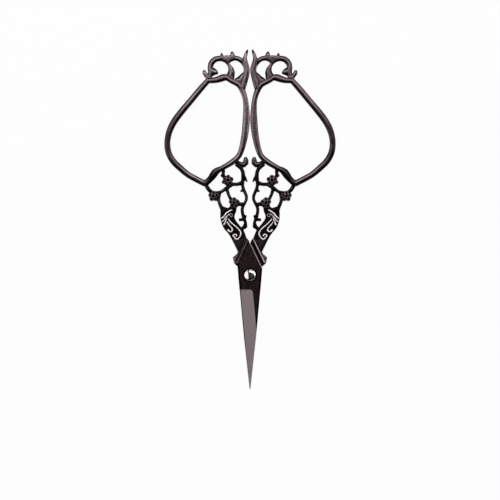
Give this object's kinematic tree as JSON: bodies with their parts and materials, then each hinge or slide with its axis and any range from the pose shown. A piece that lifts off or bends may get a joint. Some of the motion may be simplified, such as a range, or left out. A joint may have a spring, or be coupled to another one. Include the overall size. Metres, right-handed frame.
{
  "type": "embroidery scissors",
  "caption": "Slender embroidery scissors with cast openwork scroll handles, wide finger bows, long tapered ground blades and a slotted pivot screw.",
  "frame": {"origin": "flat rear end of the pivot screw, on the surface that the scissors lie on", "axes": "+Y runs from the pivot to the handles, the points are at -Y, +X is to the right seen from the front, +Z is the pivot axis, out of the front"},
  "size_m": [0.058, 0.115, 0.004],
  "materials": {
    "handle_plating": "satin",
    "blade_steel": "satin",
    "screw_steel": "polished"
  },
  "bodies": {
    "right_half": {"right_handle": "handle_plating", "rear_blade": "blade_steel", "pivot_screw": "screw_steel"},
    "left_half": {"left_handle": "handle_plating", "front_blade": "blade_steel"}
  },
  "joints": [
    {"name": "pivot", "type": "hinge", "parent": "right_half", "child": "left_half", "pos_m": [0, 0, 0.002], "axis": [0, 0, 1], "range_deg": [0, 85]}
  ]
}
